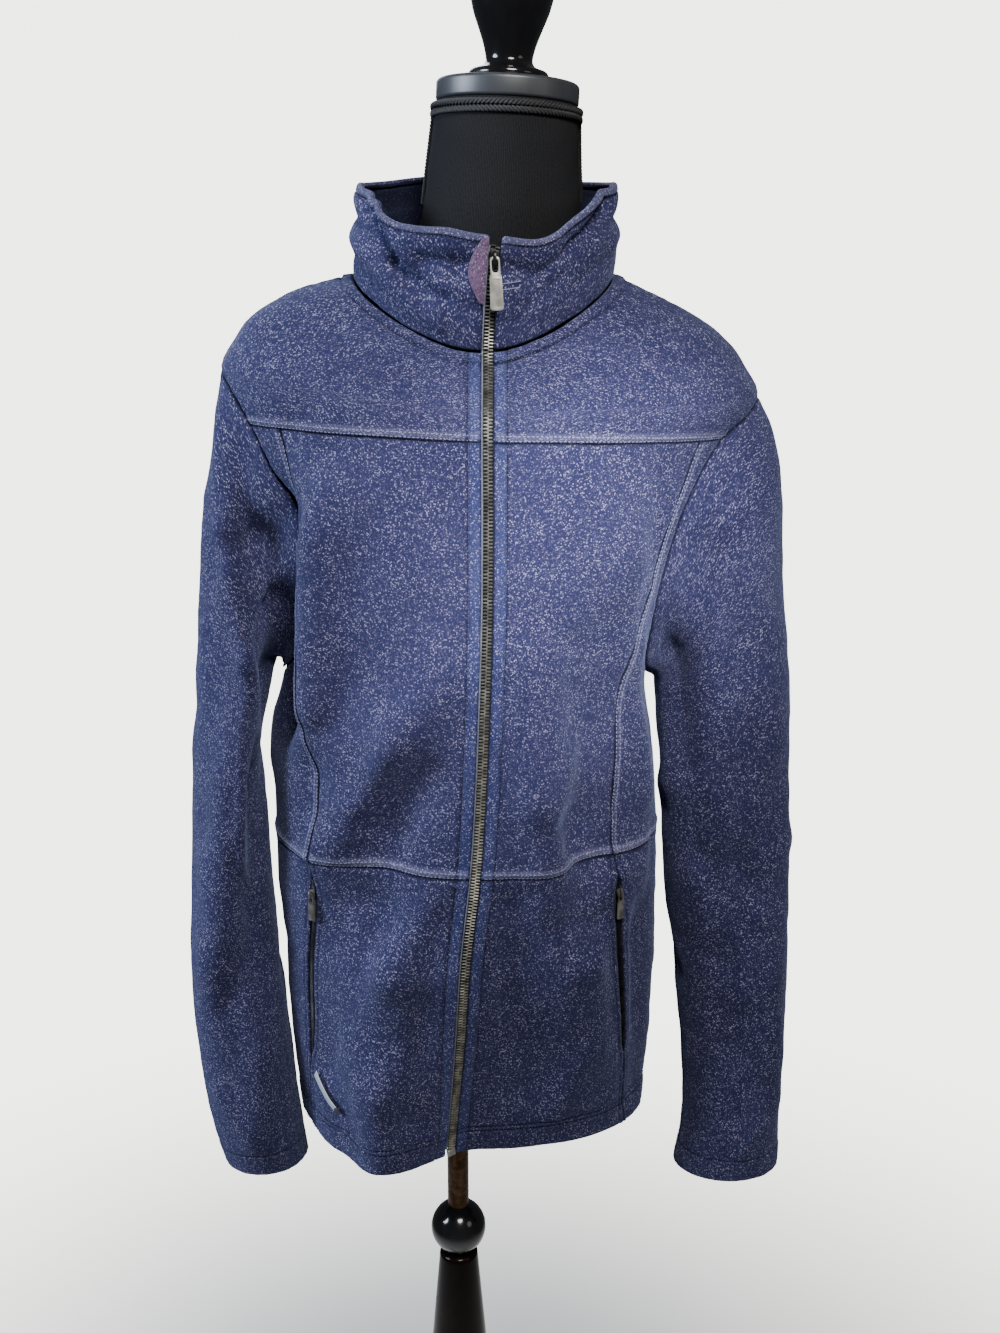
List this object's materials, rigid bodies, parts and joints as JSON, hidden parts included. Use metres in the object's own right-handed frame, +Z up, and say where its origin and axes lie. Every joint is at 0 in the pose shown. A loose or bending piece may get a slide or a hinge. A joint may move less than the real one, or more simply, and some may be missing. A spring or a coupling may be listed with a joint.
{
  "type": "fleece zip jacket on a dress form",
  "caption": "Sweater-knit fleece jacket with a stand collar, full front zip and zip pockets, on a limbless padded dress form with a turned wooden stand.",
  "frame": {"origin": "on the floor, under the middle of the part's bounding box", "axes": "+Z up; the jacket's front faces -Y; the wearer's left sleeve is at +X"},
  "size_m": [0.4908, 0.3838, 1.6137],
  "materials": {
    "front_yoke_left": "navy and blue heather sweater-knit fleece with dense pale flecks",
    "front_yoke_right": "navy and blue heather sweater-knit fleece with dense pale flecks",
    "centre_front_left": "navy and blue heather sweater-knit fleece with dense pale flecks",
    "centre_front_right": "navy and blue heather sweater-knit fleece with dense pale flecks",
    "pocket_panel_left": "navy and blue heather sweater-knit fleece with dense pale flecks",
    "pocket_panel_right": "navy and blue heather sweater-knit fleece with dense pale flecks",
    "side_panel_left": "navy and blue heather sweater-knit fleece with dense pale flecks",
    "side_panel_right": "navy and blue heather sweater-knit fleece with dense pale flecks",
    "hip_panel_left": "navy and blue heather sweater-knit fleece with dense pale flecks",
    "hip_panel_right": "navy and blue heather sweater-knit fleece with dense pale flecks",
    "back_panel": "navy and blue heather sweater-knit fleece with dense pale flecks",
    "collar": "navy and blue heather sweater-knit fleece with dense pale flecks",
    "sleeve_left": "navy and blue heather sweater-knit fleece with dense pale flecks",
    "sleeve_right": "navy and blue heather sweater-knit fleece with dense pale flecks",
    "zip_tape": "dark navy woven zip tape",
    "zip_chain": "closed zip teeth, dark gunmetal and pale metal by turns",
    "zip_foot_box": "dark gunmetal",
    "zip_guard": "mauve brushed fleece",
    "hem_label": "light grey woven strip with a dark end, bare of text",
    "main_slider": "dark gunmetal",
    "main_pull": "pale brushed metal, bare of text",
    "pocket_zip_left": "closed dark zip teeth",
    "pocket_slider_left": "dark gunmetal",
    "pocket_pull_left": "dark grey metal, bare of text",
    "side_braid_left": "black braid",
    "pocket_zip_right": "closed dark zip teeth",
    "pocket_slider_right": "dark gunmetal",
    "pocket_pull_right": "dark grey metal, bare of text",
    "side_braid_right": "black braid",
    "neck_braid": "black twisted braid",
    "form_body": "black jersey cover, padded",
    "neck_cap": "dark pewter-black lacquer, satin",
    "finial": "black lacquer, glossy",
    "ball_collar": "glossy black",
    "pole": "bronze brown, satin",
    "column": "very dark brown lacquer, satin",
    "leg_back": "very dark brown lacquer, satin",
    "leg_front_right": "very dark brown lacquer, satin",
    "leg_front_left": "very dark brown lacquer, satin"
  },
  "bodies": {
    "jacket_on_form": {"front_yoke_left": "front_yoke_left", "front_yoke_right": "front_yoke_right", "centre_front_left": "centre_front_left", "centre_front_right": "centre_front_right", "pocket_panel_left": "pocket_panel_left", "pocket_panel_right": "pocket_panel_right", "side_panel_left": "side_panel_left", "side_panel_right": "side_panel_right", "hip_panel_left": "hip_panel_left", "hip_panel_right": "hip_panel_right", "back_panel": "back_panel", "collar": "collar", "sleeve_left": "sleeve_left", "sleeve_right": "sleeve_right", "zip_tape": "zip_tape", "zip_chain": "zip_chain", "zip_foot_box": "zip_foot_box", "zip_guard": "zip_guard", "hem_label": "hem_label", "main_slider": "main_slider", "pocket_zip_left": "pocket_zip_left", "pocket_slider_left": "pocket_slider_left", "side_braid_left": "side_braid_left", "pocket_zip_right": "pocket_zip_right", "pocket_slider_right": "pocket_slider_right", "side_braid_right": "side_braid_right", "neck_braid": "neck_braid", "form_body": "form_body", "neck_cap": "neck_cap", "finial": "finial", "ball_collar": "ball_collar", "pole": "pole", "column": "column", "leg_back": "leg_back", "leg_front_right": "leg_front_right", "leg_front_left": "leg_front_left"},
    "main_pull": {"main_pull": "main_pull"},
    "pocket_pull_left": {"pocket_pull_left": "pocket_pull_left"},
    "pocket_pull_right": {"pocket_pull_right": "pocket_pull_right"}
  },
  "joints": [
    {"name": "main_pull_swing", "type": "hinge", "parent": "jacket_on_form", "child": "main_pull", "pos_m": [0.00252, -0.14719, 1.40132], "axis": [-0.9974, -0.0536, -0.049], "range_deg": [0, 150]},
    {"name": "pocket_pull_left_swing", "type": "hinge", "parent": "jacket_on_form", "child": "pocket_pull_left", "pos_m": [0.09678, -0.13966, 0.94405], "axis": [-0.849, -0.5284, -0.0021], "range_deg": [0, 150]},
    {"name": "pocket_pull_right_swing", "type": "hinge", "parent": "jacket_on_form", "child": "pocket_pull_right", "pos_m": [-0.13603, -0.14175, 0.9436], "axis": [-0.8136, 0.5799, -0.0427], "range_deg": [0, 150]}
  ]
}
